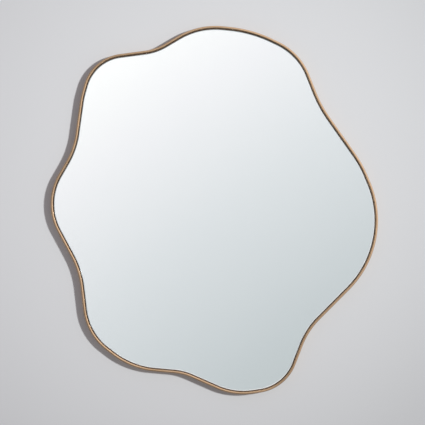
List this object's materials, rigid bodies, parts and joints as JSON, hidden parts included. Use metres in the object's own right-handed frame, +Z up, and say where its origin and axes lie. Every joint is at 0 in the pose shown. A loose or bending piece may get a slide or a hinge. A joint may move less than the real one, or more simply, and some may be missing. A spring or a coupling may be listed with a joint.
{
  "type": "irregular shaped mirror",
  "caption": "Wall mirror with a free wavy outline: a deep satin brass rim round a set back glass pane, hung on two keyhole plates.",
  "frame": {"origin": "on the wall plane, behind the middle of the outline's width and height", "axes": "+X to the right as seen from the front, +Z up, +Y into the wall, so the glass looks towards -Y"},
  "size_m": [0.7999, 0.025, 0.8999],
  "materials": {
    "rim_brass": "satin brushed, with an antique tone",
    "tab_steel": "mill finish",
    "fibreboard": "raw medium density fibreboard",
    "mounting_tape": "closed cell foam",
    "safety_film": "woven film",
    "silver": "polished",
    "clear_glass": "polished float glass",
    "gasket_rubber": "matte, dark brown",
    "zinc_steel": "bright zinc",
    "bumper_rubber": "matte"
  },
  "bodies": {
    "root": {"rim": "rim_brass", "rim_tab_right": "tab_steel", "rim_tab_upper_right": "tab_steel", "rim_tab_top": "tab_steel", "rim_tab_upper_left": "tab_steel", "rim_tab_left": "tab_steel", "rim_tab_lower_left": "tab_steel", "rim_tab_bottom": "tab_steel", "rim_tab_lower_right": "tab_steel", "backboard": "fibreboard", "tape_strip_1": "mounting_tape", "tape_strip_2": "mounting_tape", "tape_strip_3": "mounting_tape", "tape_strip_4": "mounting_tape", "tape_strip_5": "mounting_tape", "safety_film": "safety_film", "silver_backing": "silver", "mirror_glass": "clear_glass", "gasket": "gasket_rubber", "keyhole_plate_left": "zinc_steel", "keyhole_plate_right": "zinc_steel", "tab_screws": "zinc_steel", "plate_screws": "zinc_steel", "bumper_upper_right": "bumper_rubber", "bumper_upper_left": "bumper_rubber", "bumper_lower_left": "bumper_rubber", "bumper_lower_right": "bumper_rubber"}
  },
  "joints": []
}
